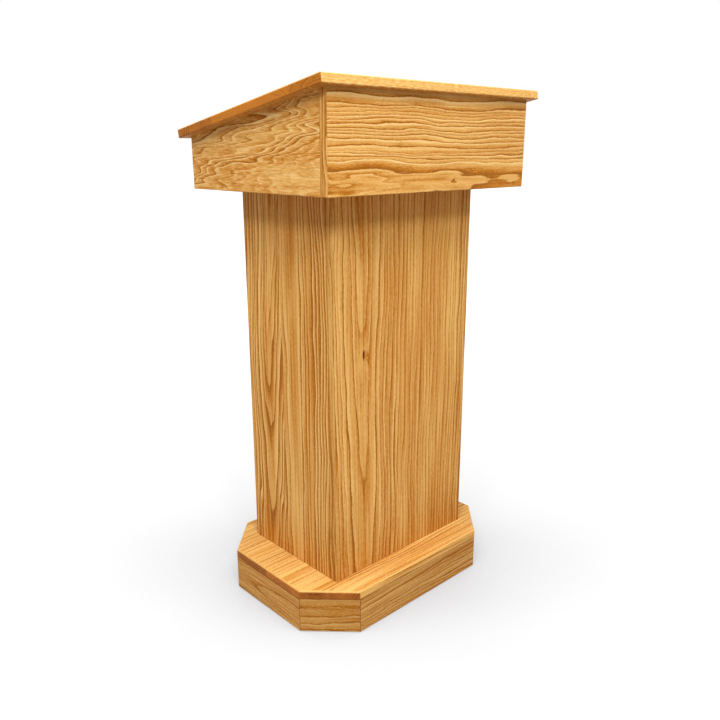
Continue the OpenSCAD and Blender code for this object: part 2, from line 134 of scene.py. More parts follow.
# The same for zinc and nylon, which have no grain
SPANGLE = (1.6, 1.6, 0, 2)
ZINC_CLOUDS = (6, 6, 3.7, 3)
NYLON_GRAIN = (0.35, 0.35, 0, 2)
NYLON_CLOUDS = (9, 9, 2.3, 2)

# Turn and spread that scatter the staves of a glued-up board
SCATTER_TURN = 12.9898
SCATTER_SPREAD = 43758.5453

# Where the reading board's underside meets its front edge, before easing, in metres
FRONT_Y = -0.24315
FRONT_Z = 1.161764

# Levels of the screws' heads, in metres: under the board's cleats, on the head's floor, under the plinth
CLEAT_DEPTH = 0.02
HEAD_FLOOR_TOP = 1.00012
PLINTH_BOARD_UNDERSIDE = 0.085

# Places of the screws, in metres: along the slope for the board and the stop, and in the column's cleats
BOARD_SCREWS = [(side * 0.27, y) for side in (-1, 1) for y in (0.12378, 0.25816, 0.39253)]
BOARD_SCREWS += [(x, 0.04644) for x in (-0.18667, 0, 0.18667)]
STOP_SCREWS = [(x, 0.46245) for x in (-0.18, -0.06, 0.06, 0.18)]
COLUMN_SCREWS = [(side * 0.187, y) for side in (-1, 1) for y in (-0.0434, 0.0811)]
COLUMN_SCREWS += [(-0.0985, -0.11565), (0.0985, -0.11565)]

# Lengths of a screw in metres: whole, its rim, countersink, neck, point and tip
LONG_SCREW = 0.03185
SHORT_SCREW = 0.03085
RIM = 0.0005
RIM_CHAMFER = 0.0001
COUNTERSINK = 0.0025
NECK = 0.0006
POINT = 0.005
TIP = 0.0008

# Shares of full size: a screw's plain part, its tip, the start of its thread, the bottom of its cross
PLAIN_SHARE = 0.4
TIP_SHARE = 0.2
START_SHARE = 0.7
CROSS_SHARE = 0.6

# Sides of a screw's head, and the grid lines that bound its cross, in metres
HEAD_SIDES = 24
CROSS_LINES = (0, 0.0006, 0.0021, 0.0026)

# Thread: steps in a turn and, in metres, half its width, its hold in the core and its gap at the point
THREAD_STEPS = 16
THREAD_HALF = 0.0005
THREAD_HOLD = 0.0001
THREAD_GAP = 0.001

# Lamps: power, width and depth of the soft box, its place and its aim, in metres
LAMPS = {
    "key_left": ("left_power", 0.7, 0.7, (-2.64, -1.56, 3.1), (0, 0, 0.65)),
    "key_right": ("right_power", 0.7, 0.7, (-1.41, -2.73, 3.1), (0, 0, 0.65)),
    "top_lamp": ("top_power", 3.6, 1.6, (-0.48, -0.51, 3.3), (0, 0, 0.4)),
}

# Floor, in metres: half its side, gap under the glides, reach of the occlusion that paints shade on it,
# half width and depth of its painted shadow, and where the white rises far off and, as painted light,
# behind the lectern
FLOOR_REACH = 30
FLOOR_GAP = 0.0001
OCCLUSION_REACH = 1.0
PAINTED_SHADOW_WIDTH = 0.7
PAINTED_SHADOW_DEPTH = 0.3
FAR = (0.5, 3.0)
BEHIND = (0.1, 0.45)

# Edge of the painted shadow as a share of its size, and parts of the floor's white: all over, painted shade
# from occlusion, far off, painted light behind the lectern, and the painted shadow's strength
PAINTED_SHADOW_EDGE = (0.5, 1.1)
WHITE_ALL_OVER = 0.284
WHITE_WITH_PAINTED_OCCLUSION = 0.5
WHITE_FAR = 0.3
PAINTED_LIGHT_BEHIND = 0.05
PAINTED_SHADOW_STRENGTH = 0.052

# Linear colour in which the camera sees the lamps' shadows on the floor
SHADOW_TINT = (0.215, 0.23, 0.255)
WHITE = (1.0, 1.0, 1.0)


def shade(code):
    """Linear colour of a paint chip that is written as six hexadecimal digits."""
    chip = []
    for place in (0, 2, 4):
        part = int(code[place:place + 2], 16) / 255
        chip.append(part / 12.92 if part <= 0.04045 else ((part + 0.055) / 1.055) ** 2.4)
    return tuple(chip)


def colour_property(name, description, code):
    """Colour that a user can change."""
    return FloatVectorProperty(name=name, description=description, subtype="COLOR", size=3,
                               min=0, max=1, default=shade(code))


def length_property(name, description, default):
    """Length in metres that a user can change."""
    return FloatProperty(name=name, description=description, unit="LENGTH", subtype="DISTANCE",
                         min=0, precision=4, default=default)


def share_property(name, description, default):
    """Share from 0 to 1 that a user can change."""
    return FloatProperty(name=name, description=description, subtype="FACTOR", min=0, max=1, default=default)


def angle_property(name, description, degrees):
    """Angle that a user can change."""
    return FloatProperty(name=name, description=description, subtype="ANGLE",
                         unit="ROTATION", default=math.radians(degrees))


def power_property(name, description, default):
    """Power of a lamp that a user can change."""
    return FloatProperty(name=name, description=description, unit="POWER", default=default)


class OakLook(PropertyGroup):
    """Colours and finish of the oak that shows."""

    pale: colour_property("Pale edge", "Palest late wood, beside the porous lines, and flecks", "F3D597")
    light: colour_property("Late wood", "Oak between the lines of the growth rings", "F3C475")
    middle: colour_property("Heartwood", "Warmer oak in streaks, bands and porous lines", "C0791E")
    dark: colour_property("Early wood", "Deepest part of the porous lines and the knots", "642F07")
    grey: colour_property("Rift wood", "Browner tone of straight-grained veneer", "BF8237")
    end: colour_property("End grain", "Sawn ends, which take more lacquer", "C67A34")
    glue: colour_property("Joint line", "Dark line where two pieces meet", "714116")
    ring: length_property("Ring width", "Average growth in a year", 0.006)
    pore: length_property("Pore depth", "Depth of the open pores", 0.00012)
    joint: length_property("Joint width", "Width of the dark line at a joint", 0.0011)
    # Lighter eased edges of solid oak: partly wear, partly a painted highlight where light catches the
    # rounding
    wear: share_property("Edge wear", "How much lighter the eased edges of solid oak are", 0.6)
    banding: share_property("Edge banding", "How dark the veneer's cut shows along a panel's edges", 0.2)
    roughness: share_property("Roughness", "Roughness of the wood under the lacquer", 0.5)
    gloss: share_property("Gloss", "Reflection of the wood under the lacquer", 0.06)
    lacquer: share_property("Lacquer", "Strength of the satin lacquer", 0.07)
    lacquer_roughness: share_property("Lacquer roughness", "Roughness of the lacquer", 0.28)


class InsideLook(PropertyGroup):
    """Colours and finish of the bare wood inside the lectern."""

    poplar: colour_property("Poplar", "Cleats and blocks", "EAD5AA")
    poplar_dark: colour_property("Poplar's late wood", "Darker lines in the cleats and blocks", "C1A56F")
    beech: colour_property("Beech", "Biscuits, dowels and splines", "EBC79D")
    beech_dark: colour_property("Beech's flecks", "Short flecks in the beech", "B48356")
    wear: share_property("Edge wear", "How much lighter the edges are", 0.4)
    roughness: share_property("Roughness", "Roughness of the planed wood", 0.72)
    fuzz: length_property("Fuzz", "Depth of the fibres and saw marks", 0.0001)


class HardwareLook(PropertyGroup):
    """Colours and finish of the screws, the shelf pins and the glides."""

    zinc: colour_property("Zinc", "Fresh zinc", "C9CCD0")
    tarnish: colour_property("Tarnish", "Duller patches of the zinc", "93989E")
    bright: colour_property("Bright edge", "Edges that a driver has rubbed", "E6E7E9")
    wear: share_property("Edge wear", "How bright the edges are", 0.6)
    roughness: share_property("Roughness", "Roughness of the zinc", 0.32)
    scratch: length_property("Scratches", "Depth of scratches and grain", 0.00002)
    nylon: colour_property("Nylon", "Moulded glides", "4A4642")
    grime: colour_property("Rubbed nylon", "Glides where they have rubbed on a floor", "6E6860")
    nylon_roughness: share_property("Nylon roughness", "Roughness of the glides", 0.45)
    screw: length_property("Screw", "Width of a screw's thread", 0.004)
    core: length_property("Core", "Width of a screw inside its thread", 0.0028)
    head: length_property("Head", "Width of a screw's head", 0.008)
    pitch: length_property("Pitch", "Rise of the thread in one turn", 0.0018)
    recess: length_property("Recess", "Depth of the cross in a screw's head", 0.0013)


class StudioLook(PropertyGroup):
    """Camera, lamps and floor of the studio."""

    camera: FloatVectorProperty(name="Camera", description="Place of the camera", subtype="TRANSLATION",
                                unit="LENGTH", size=3, default=(-1.1785, -1.2482, 1.0546))
    heading: angle_property("Heading", "Turn of the camera from straight ahead", -43.214)
    pitch: angle_property("Pitch", "Rise of the camera's aim above level", -16.099)
    roll: angle_property("Roll", "Tilt of the camera", -0.088)
    lens: FloatProperty(name="Lens", description="Focal length in millimetres on a 36 mm sensor",
                        subtype="DISTANCE_CAMERA", default=36.62)
    left_power: power_property("Left power", "Power of the lamp to the left of the camera", 51)
    right_power: power_property("Right power", "Power of the lamp to the right of the camera", 55)
    top_power: power_property("Top power", "Power of the long soft box overhead", 74)
    sky: share_property("Sky", "Strength of the light from all round", 0.4)
    sky_colour: colour_property("Sky colour", "Colour of the light from all round", "FFEBD2")
    floor: colour_property("Floor", "Colour of the floor", "B4AEA5")


class Wire:
    """Socket of a shader that can be used in sums, so that 1 - mask adds a Math node."""

    def __init__(self, shop, socket):
        self.shop = shop
        self.socket = socket

    def maths(self, operation, *values):
        return self.shop.node("ShaderNodeMath", {"operation": operation}, values)

    def __add__(self, other):
        return self.maths("ADD", self, other)

    def __radd__(self, other):
        return self.maths("ADD", other, self)

    def __sub__(self, other):
        return self.maths("SUBTRACT", self, other)

    def __rsub__(self, other):
        return self.maths("SUBTRACT", other, self)

    def __mul__(self, other):
        return self.maths("MULTIPLY", self, other)

    def __rmul__(self, other):
        return self.maths("MULTIPLY", other, self)

    def __truediv__(self, other):
        return self.maths("DIVIDE", self, other)

    def __rtruediv__(self, other):
        return self.maths("DIVIDE", other, self)

    def __abs__(self):
        return self.maths("ABSOLUTE", self)

    def __gt__(self, other):
        return self.maths("GREATER_THAN", self, other)

    def root(self):
        return self.maths("SQRT", self)

    def fraction(self):
        return self.maths("FRACT", self)

    def floor(self):
        return self.maths("FLOOR", self)

    def most(self, other):
        return self.maths("MAXIMUM", self, other)

    def least(self, other):
        return self.maths("MINIMUM", self, other)

    def held(self):
        """The value, kept between 0 and 1."""
        return self.shop.node("ShaderNodeClamp", {}, (self, 0, 1))

    def rise(self, start, end):
        """Smooth climb from 0 at start to 1 at end."""
        settings = {"interpolation_type": "SMOOTHSTEP"}
        return self.shop.node("ShaderNodeMapRange", settings, (self, start, end, 0, 1))


class Shop:
    """Adds nodes to one material or world."""

    def __init__(self, owner):
        self.owner = owner
        owner.use_nodes = True
        self.tree = owner.node_tree
        self.tree.nodes.clear()

    def node(self, kind, settings, inputs, output=0):
        """Adds a node: its settings first, then its inputs, listed in order or by name."""
        node = self.tree.nodes.new(kind)
        for name, value in settings.items():
            setattr(node, name, value)
        named = inputs.items() if isinstance(inputs, dict) else enumerate(inputs)
        for name, value in named:
            self.feed(node.inputs[name], value)
        return Wire(self, node.outputs[output]) if len(node.outputs) else None

    def feed(self, socket, value):
        """Links or sets one input."""
        if isinstance(value, Wire):
            self.tree.links.new(value.socket, socket)
        elif socket.type == "RGBA" and len(value) == 3:
            socket.default_value = (*value, 1)
        else:
            socket.default_value = value

    def place(self, output):
        """Object coordinates, or the object's normal."""
        return self.node("ShaderNodeTexCoord", {}, (), output)

    def millimetres(self):
        """Object coordinates as three lengths in millimetres."""
        place = self.place("Object")
        return [self.reach(place, axis) * MM for axis in (X_AXIS, Y_AXIS, Z_AXIS)]

    def reach(self, vector, direction):
        """How far a vector reaches in a direction."""
        return self.node("ShaderNodeVectorMath", {"operation": "DOT_PRODUCT"}, (vector, direction), "Value")

    def noise(self, x, y, z, detail):
        """Cloudy noise about 0, mostly between -0.5 and 0.5."""
        point = self.node("ShaderNodeCombineXYZ", {}, (x, y, z))
        inputs = {"Vector": point, "Scale": 1.0, "Detail": detail}
        return (self.node("ShaderNodeTexNoise", {"noise_dimensions": "3D"}, inputs) - 0.5) * 2

    def grain(self, spots, seed, length, width, step, detail):
        """Noise drawn out along the wood. Each step of the seed gives another noise."""
        along, across, deep = spots
        return self.noise(along / length, across / width, deep / width + (seed + step), detail)

    def drift(self, x):
        """Noise about 0 along one line."""
        inputs = {"W": x, "Scale": 1.0, "Detail": 1.0}
        return (self.node("ShaderNodeTexNoise", {"noise_dimensions": "1D"}, inputs) - 0.5) * 2

    def dice(self, x):
        """Another number from 0 to 1 for each whole x."""
        return self.node("ShaderNodeTexWhiteNoise", {"noise_dimensions": "1D"}, {"W": x})

    def blend(self, amount, first, second):
        """Mixes two colours, which are inputs 6 and 7 and output 2 of the node."""
        settings = {"data_type": "RGBA", "clamp_factor": True}
        return self.node("ShaderNodeMix", settings, {0: amount, 6: first, 7: second}, 2)

    def scaled(self, colour, amount):
        """Makes a colour lighter or darker."""
        return self.node("ShaderNodeVectorMath", {"operation": "SCALE"}, {"Vector": colour, "Scale": amount})

    def bump(self, height, distance):
        """Turns a height from 0 to 1 into a normal, distance metres deep."""
        return self.node("ShaderNodeBump", {}, {"Strength": 1.0, "Distance": distance, "Height": height})

    def eye(self):
        """1 for what the camera sees, straight on, as a reflection or through glass."""
        straight, mirrored, through = (
            self.node("ShaderNodeLightPath", {}, (), ray)
            for ray in ("Is Camera Ray", "Is Glossy Ray", "Is Transmission Ray"))
        return straight.most(mirrored).most(through)

    def surface(self, inputs):
        """Ends a material in a Principled shader, and returns it."""
        self.end(self.node("ShaderNodeBsdfPrincipled", {}, inputs))
        return self.owner

    def end(self, shader):
        """Ends a material or a world in a shader."""
        kind = "World" if isinstance(self.owner, bpy.types.World) else "Material"
        self.node(f"ShaderNodeOutput{kind}", {}, {"Surface": shader})


@dataclass
class Leaf:
    """Leaf of veneer, or stave of a board, and how it was sawn from its log. Millimetres.

    start is where it begins across the piece, heart where the log's middle lies under it, pith how deep that
    is, rise and lean how the log's middle climbs and wanders along the piece, and ring the growth in a year
    as a share of the average. tone makes it lighter or darker, grey makes it greyer, and line makes its
    rings stronger.
    """

    start: float
    heart: float
    pith: float
    rise: float = 0
    lean: float = 0
    ring: float = 1
    tone: float = 1
    grey: float = 0
    line: float = 1


BAND_LEAF = Leaf(BAND_PLACE - 500, BAND_PLACE + 60, 80, 0.015, tone=0.94, grey=0.25)


@dataclass
class Figure:
    """How lively the grain of a piece is. Millimetres.

    sway is how far the lines wander slowly, ripple how far they wave at ripple_length and ripple_width, curl
    how far rounded figure meanders along the piece at curl_width, and line how dark the early wood is.
    streak and cloud are warmer wood in fine lines and in broad bands, and fleck is pale dashes of
    fleck_length. fading is how unevenly the early wood shows, flame how far it breaks into patches over the
    log's middle, porous its share of a year, ground how warm the wood between the lines is, gleam how pale
    the late wood is, ends how dark and ripe how warm the sawn ends are. foot is painted shade: how much
    darker the first part along the piece is, towards the floor. under is the same painted shade on the
    underside, and over on the upper face.
    knots lists where small knots lie along and across, and their size.
    """

    seed: float
    sway: float = 12
    ripple: float = 1.6
    ripple_length: float = 55
    ripple_width: float = 14
    curl: float = 0
    curl_width: float = 48
    flame: float = 2
    line: float = 1.15
    porous: float = 0.26
    streak: float = 0.85
    cloud: float = 0.6
    fleck: float = 0.3
    fleck_length: float = 9
    fading: float = 0.6
    ground: float = 0.42
    gleam: float = 0.5
    ends: float = 0.1
    ripe: float = 0
    foot: float = 0
    under: float = 0
    over: float = 0
    knots: tuple = ()


class Cut:
    """How a wooden node lies: along its grain, across it and through its thickness.

    Its corner and size are in millimetres.
    """

    def __init__(self, node, along, across):
        self.node = node
        self.directions = (along, across, along.cross(across))
        self.corner = []
        self.size = []
        spots = [vertex.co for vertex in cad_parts[node].data.vertices]
        for direction in self.directions:
            reaches = [spot.dot(direction) * MM for spot in spots]
            self.corner.append(min(reaches))
            self.size.append(max(reaches) - min(reaches))

    def coordinates(self, shop):
        """Where a point lies along, across and through the piece, and how far its skin faces these ways."""
        place = shop.place("Object")
        normal = shop.place("Normal")
        spots = [shop.reach(place, way) * MM - low for way, low in zip(self.directions, self.corner)]
        faces = [abs(shop.reach(normal, way)) for way in self.directions]
        return spots, faces


def leaf_value(steps, leaves, name):
    """A quality of the leaves that changes at each joint between them."""
    value = getattr(leaves[0], name)
    for step, before, after in zip(steps, leaves, leaves[1:]):
        change = getattr(after, name) - getattr(before, name)
        if change:
            value = step * change + value
    return value


def edge_distance(spots, size):
    """Distance from a point on the skin of a block to its nearest edge."""
    gaps = [length / 2 - abs(spot - length / 2) for spot, length in zip(spots, size)]
    nearest = gaps[0] + gaps[1] + gaps[2]
    return nearest - gaps[0].most(gaps[1]).most(gaps[2])


def knot_marks(spots, bend, knots):
    """How far the rings bulge round the knots, and how dark the knots are."""
    along, across = spots[:2]
    swell = 0
    eyes = 0
    for place_along, place_across, size in knots:
        far_along = (along - place_along) / (size * KNOT_LENGTH)
        far_across = (across + bend - place_across) / size
        far = (far_along * far_along + far_across * far_across).root()
        swell = (1 - far.rise(0, KNOT_REACH)) * (size * KNOT_SWELL) + swell
        eyes = (1 - far.rise(*KNOT_EYE)) + eyes
    return swell, eyes


def growth_rings(shop, spots, leaves, figure, ring):
    """Early wood and late wood from 0 to 1, the knots, and the tone and greyness of the leaf."""
    along, across, deep = spots
    seed = figure.seed
    steps = [across > leaf.start for leaf in leaves[1:]]
    pith, rise, lean, heart, growth, tone, grey, weight = (
        leaf_value(steps, leaves, name)
        for name in ("pith", "rise", "lean", "heart", "ring", "tone", "grey", "line"))
    sway = shop.grain(spots, seed, *SWAY) * figure.sway
    wave = shop.grain(spots, seed, figure.ripple_length, figure.ripple_width, step=7.3, detail=2)
    bend = sway + wave * figure.ripple
    ragged = shop.grain(spots, seed, *RAGGED)
    if figure.curl:
        meander = shop.grain(spots, seed, 320, figure.curl_width, step=19.7, detail=1)
        along = along + meander * figure.curl
        spots = (along, across, deep)
    side = across - heart - along * lean + bend
    swell, knots = knot_marks(spots, bend, figure.knots)
    flame = shop.grain(spots, seed, *FLAME) * figure.flame
    depth = along * rise + pith + deep + sway * 0.5 + flame
    reach = (side * side + depth * depth).root() + swell
    age = reach / (growth * (ring * MM))
    age = age + shop.drift(age / 2.7 + seed) * 0.7 + ragged * 0.08
    start = age.fraction()
    strength = (shop.dice(age.floor() + seed) * 0.85 + 0.25) * weight
    fading = shop.grain(spots, seed, *FADING) * figure.fading + 0.85
    steep = (abs(side) / reach).rise(*UPRIGHT) * 0.7 + 0.15
    line = 0.8 - start.rise(figure.porous * 0.3, figure.porous) * 0.8
    early = (line * steep + 0.3 - start.rise(*EARLY_FADE) * 0.3) * strength * fading
    late = (start.rise(*LATE_RISE) - start.rise(*LATE_END)) * strength * steep
    return early, late, knots, tone, grey


def veneer_spots(spots, faces):
    """Where the skin of a veneered panel reads its figure: the bands on its edges run along them."""
    along, across, deep = spots
    ends = faces[0] > EDGE_TURN
    band = ends.most(faces[1] > EDGE_TURN)
    return along + (across - along) * ends, across + (deep - across + BAND_PLACE) * band, 0


def finish(node, material):
    """Gives a CAD node its material."""
    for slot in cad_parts[node].material_slots:
        slot.material = material


def finish_oak(cut, leaves, figure, veneer=False, joints=(), strength=1.0):
    """Finishes a node in lacquered oak. joints lists directions and ends at which it meets another."""
    look = bpy.context.scene.lectern_oak
    shop = Shop(bpy.data.materials.new(f"oak_{cut.node}"))
    spots, faces = cut.coordinates(shop)
    seams = [(spots[way], cut.size[way] * end) for way, end in joints]
    if veneer:
        arris = (1 - edge_distance(spots, cut.size).rise(*BAND_CUT)) * look.banding
        arris_colour = look.glue
        spots = veneer_spots(spots, faces)
        leaves = [*leaves, BAND_LEAF]
    else:
        # Solid oak's eased edges are lighter: partly wear, partly a painted highlight
        flat = (faces[0] * faces[0] + faces[1] * faces[1]).root().most(faces[2])
        arris = (1 - flat.rise(*FLAT_TURN)) * look.wear
        arris_colour = look.light
        spots = (spots[0], spots[1], spots[2] - cut.size[2] / 2)
    along, deep = spots[0], spots[2]
    seed = figure.seed
    early, late, knots, tone, grey = growth_rings(shop, spots, leaves, figure, look.ring)
    pore = (shop.grain(spots, seed, *PORES) + early * 0.3).rise(*OPEN_PORE)
    dash = shop.grain(spots, seed, *DASHES) * (early * 0.6 + 0.2)
    streak = shop.grain(spots, seed, *STREAKS)
    cloud = shop.grain(spots, seed, *CLOUDS)
    fleck = shop.grain(spots, seed, figure.fleck_length, figure.fleck_length / 7, step=67.1, detail=1)
    gleam = late * figure.gleam + fleck * figure.fleck
    warmth = streak * figure.streak + cloud * figure.cloud + figure.ground
    stain = (warmth + dash - gleam * 0.5).most(0) + early * figure.line + pore * 0.35
    # Painted shade: the first part along the piece, towards the floor, is darker
    if figure.foot:
        stain = stain + (1 - along.rise(0, FOOT_SHADE_HEIGHT)) * figure.foot
    # Painted shade: the underside is darker, and its lower half gets no lighter edges
    if figure.under:
        stain = stain + (1 - (deep + cut.size[2] / 2).rise(*UNDER_SKIN)) * figure.under
        arris = arris * (deep > 0)
    stain = stain.least(DEEPEST_STAIN) + knots * KNOT_STAIN
    wood = shop.blend(stain, look.light, look.middle)
    wood = shop.blend(gleam, wood, look.pale)
    wood = shop.blend((cloud + 0.5) * grey, wood, look.grey)
    wood = shop.blend(late * grey, wood, look.light)
    if not veneer:
        ripe = Vector(look.end).lerp(Vector(look.middle), figure.ripe)
        hatch = early * 0.8 + streak * 0.3 + cloud * 0.3 + faces[0] * faces[1] * 0.5
        hatch = hatch + (1 - tone) * STAVE_END + figure.ends
        wood = shop.blend(faces[0].rise(*END_TURN), wood, shop.blend(hatch, ripe, look.dark))
    wood = shop.blend(stain - 1, wood, look.dark)
    wood = shop.blend(arris, wood, arris_colour)
    half = look.joint * MM
    for spot, place in seams:
        seam = 1 - abs(spot - place).rise(half * 0.4, half)
        wood = shop.blend(seam * JOINT_SHADE, wood, look.glue)
    # Painted shade: the upper face is darker
    if figure.over:
        tone = tone - faces[2].rise(*UPPER_TURN) * (deep > 0) * figure.over
    finish(cut.node, shop.surface({
        "Base Color": shop.scaled(wood, (cloud * 0.08 + tone) * strength),
        "Roughness": (early * 0.12 + pore * 0.2 + streak * 0.06 + look.roughness).held(),
        "Normal": shop.bump(1 - (pore * 0.8 + early * 0.3).held(), look.pore),
        "Specular IOR Level": look.gloss,
        "Coat Weight": look.lacquer,
        "Coat Roughness": look.lacquer_roughness,
    }))


def finish_bare(cut, wood, light, dark, ring, ray, seed):
    """Finishes a node in planed wood. ring is the growth in a year and ray how much its flecks show."""
    look = bpy.context.scene.lectern_inside
    shop = Shop(bpy.data.materials.new(f"{wood}_{cut.node}"))
    spots, faces = cut.coordinates(shop)
    along, across, deep = spots
    nearest = edge_distance(spots, cut.size)
    sway = shop.grain(spots, seed, *PLANK_SWAY) * 6
    side = across + along * PLANK_LEAN + sway + PLANK_SIDE
    depth = deep + sway * 0.5 + PLANK_PITH
    age = (side * side + depth * depth).root() / (ring * MM)
    start = (age + shop.drift(age / 3 + seed)).fraction()
    late = start.rise(0.3, 1.0) - start.rise(0.97, 1.0)
    fleck = shop.grain(spots, seed, *PLANK_FLECKS).rise(0.15, 0.5)
    fibre = shop.grain(spots, seed, *PLANK_FIBRES)
    cloud = shop.grain(spots, seed, *PLANK_CLOUDS)
    saw = shop.grain(spots, seed, *SAW_MARKS) * faces[0].rise(0.5, 0.8)
    warmth = (late * 0.55 + fibre * 0.35 + cloud * 0.4 + fleck * ray + faces[0].rise(0.4, 0.8) * 0.45).held()
    colour = shop.blend(warmth, light, dark)
    colour = shop.blend((1 - nearest.rise(0.2, 1.3)) * look.wear, colour, light)
    finish(cut.node, shop.surface({
        "Base Color": shop.scaled(colour, cloud * 0.12 + saw * 0.1 + 1),
        "Roughness": (late * 0.08 + fibre * 0.12 + look.roughness).held(),
        "Normal": shop.bump((fibre * 0.6 + saw * 0.5 + late * 0.3 + 0.4).held(), look.fuzz),
        "Specular IOR Level": 0.2,
    }))


def zinc_steel(name, seed):
    """Bright zinc on steel, with spangle, fine scratches and a worn shine on its edges."""
    look = bpy.context.scene.lectern_hardware
    shop = Shop(bpy.data.materials.new(name))
    spots = shop.millimetres()
    x, y, z = spots
    patch = shop.grain(spots, seed, *SPANGLE)
    cloud = shop.grain(spots, seed, *ZINC_CLOUDS)
    scratch = shop.noise(x / 0.12, y / 0.12, z / 2.5 + seed + 7.9, 1).rise(0.3, 0.6)
    worn = (shop.node("ShaderNodeNewGeometry", {}, (), "Pointiness") - 0.5).rise(0.01, 0.12)
    tint = (patch * 0.5 + cloud * 0.5 + 0.45).held()
    metal = shop.blend(tint, look.zinc, look.tarnish)
    metal = shop.blend(worn * look.wear, metal, look.bright)
    return shop.surface({
        "Base Color": metal,
        "Metallic": 1.0,
        "Roughness": (patch * 0.12 + scratch * 0.15 - worn * 0.15 + look.roughness).held(),
        "Normal": shop.bump((scratch * 0.6 + patch * 0.4 + 0.4).held(), look.scratch),
    })


def nylon(name, seed):
    """Moulded nylon, matt where it has rubbed on a floor."""
    look = bpy.context.scene.lectern_hardware
    shop = Shop(bpy.data.materials.new(name))
    spots = shop.millimetres()
    x, y, z = spots
    grain = shop.grain(spots, seed, *NYLON_GRAIN)
    cloud = shop.grain(spots, seed, *NYLON_CLOUDS)
    rubbed = 1 - z.rise(0.3, 2.5)
    scuff = shop.noise(x / 0.5, y / 6, z / 0.5 + seed + 6.1, 1).rise(0.1, 0.5) * rubbed
    colour = shop.blend((cloud * 0.5 + 0.4 + scuff * 0.4).held(), look.nylon, look.grime)
    return shop.surface({
        "Base Color": colour,
        "Roughness": (rubbed * 0.25 + grain * 0.08 + scuff * 0.15 + look.nylon_roughness).held(),
        "Normal": shop.bump((grain * 0.4 - scuff * 0.4 + 0.5).held(), look.scratch * 2),
        "Specular IOR Level": 0.4,
    })


def new_object(name, shape, material):
    """Turns a bmesh into an object of one material."""
    mesh = bpy.data.meshes.new(name)
    shape.to_mesh(mesh)
    shape.free()
    mesh.materials.append(material)
    made = bpy.data.objects.new(name, mesh)
    bpy.context.scene.collection.objects.link(made)
    return made


def staves(width, stave, seed):
    """Staves of a glued-up board, each sawn from another place in a log. Millimetres."""
    made = []
    for index in range(math.ceil(width / stave)):
        turn = math.sin((index + 1) * SCATTER_TURN + seed) * SCATTER_SPREAD
        chance = turn - math.floor(turn)
        start = index * stave
        heart = start + stave * (chance * 1.6 - 0.3)
        pith = 18 + 60 * ((chance * 7.1) % 1)
        side = 1 if (chance * 3.7) % 1 > 0.5 else -1
        rise = 0.03 * ((chance * 11.3) % 1 - 0.5)
        tone = 0.96 + 0.08 * ((chance * 5.3) % 1)
        made.append(Leaf(start, heart, pith * side, rise, tone=tone))
    return made


class BoardOperator(Operator):
    """Finish the reading board and the strip that keeps a book from sliding off it"""

    bl_idname = "lectern.finish_board"
    bl_label = "Reading board"

    def execute(self, context):
        board = Cut("reading_board", X_AXIS, DOWN_SLOPE)
        leaves = staves(board.size[1], 88, 1.0)
        # under paints shade on the board's underside
        figure = Figure(1.7, line=0.35, streak=0.2, cloud=0.35, fleck=1.2, fleck_length=14, ground=0.26,
                        ends=0.03, ripe=0.6, under=0.6, over=0.34)
        # over, in the figure above, paints shade on the board's upper face, which the lamps light strongly
        finish_oak(board, leaves, figure, strength=0.97)
        stop = Cut("book_stop", X_AXIS, DOWN_SLOPE)
        finish_oak(stop, [Leaf(0, -30, 40)], Figure(2.9), joints=[(2, 0)])
        return {"FINISHED"}


class HeadOperator(Operator):
    """Finish the panels and the floor of the head"""

    bl_idname = "lectern.finish_head"
    bl_label = "Head"

    def execute(self, context):
        front = Cut("head_front", X_AXIS, Z_AXIS)
        leaves = [
            Leaf(0, 20, 34, 0.02, ring=1.15),
            # This upper leaf is darker: partly its own tone, partly painted shade under the reading board's
            # overhang
            Leaf(168, 26, 18, 0.02, ring=2.0, tone=0.89, line=1.1),
        ]
        figure = Figure(11.3, ripple=5, ripple_length=90, ripple_width=24, flame=9, line=2.3, porous=0.2,
                        cloud=0.5, streak=0.6, fading=0.4, gleam=0.9, knots=[(350, 22, 4)])
        finish_oak(front, leaves, figure, veneer=True)
        for side, seed in (("left", 17.9), ("right", 23.3)):
            panel = Cut(f"head_side_{side}", Y_AXIS, Z_AXIS)
            leaves = [Leaf(0, 15, 95, lean=-0.3, ring=2.0)]
            figure = Figure(seed, sway=30, ripple=8, ripple_length=110, ripple_width=90, curl=170,
                            curl_width=27, flame=5, line=1.2, streak=0.5, fleck=0.8, fleck_length=22,
                            fading=0.9, ground=0.55, gleam=0.9)
            finish_oak(panel, leaves, figure, veneer=True, joints=[(0, 0)], strength=0.97)
        floor = Cut("head_floor", X_AXIS, Y_AXIS)
        leaves = [Leaf(0, 90, 60, 0.03), Leaf(180, 250, 40, -0.02), Leaf(330, 400, 70, 0.02)]
        finish_oak(floor, leaves, Figure(29.1), veneer=True)
        return {"FINISHED"}


